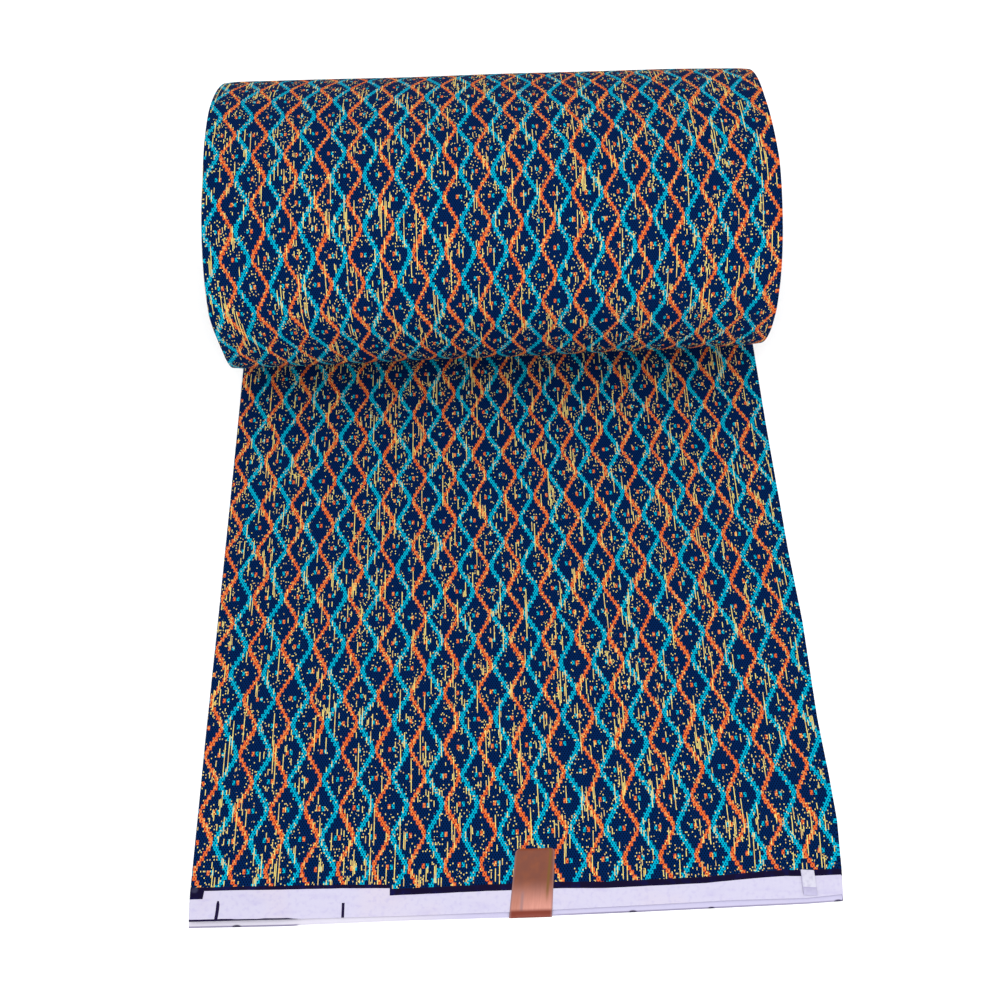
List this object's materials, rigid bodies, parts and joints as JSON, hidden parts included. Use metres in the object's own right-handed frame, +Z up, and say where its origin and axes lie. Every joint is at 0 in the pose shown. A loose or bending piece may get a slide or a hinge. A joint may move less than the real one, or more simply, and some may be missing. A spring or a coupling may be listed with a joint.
{
  "type": "roll of wax print fabric",
  "caption": "Soft oval roll of doubled wax print cotton with its loose end laid out flat, a white border along its front edge and a blank foil label.",
  "frame": {"origin": "under the middle of the whole part, on the surface that it rests on", "axes": "+X across the cloth to the right, +Y from the loose end's front edge towards the roll, +Z up"},
  "size_m": [0.4637, 0.7108, 0.1838],
  "materials": {
    "printed_cloth": "matt printed cotton, slightly glazed",
    "copper_foil": "metallised foil, satin",
    "white_paper": "matt paper"
  },
  "bodies": {
    "root": {"cloth_roll": "printed_cloth", "loose_end": "printed_cloth", "foil_label": "copper_foil", "white_tab": "white_paper"}
  },
  "joints": []
}
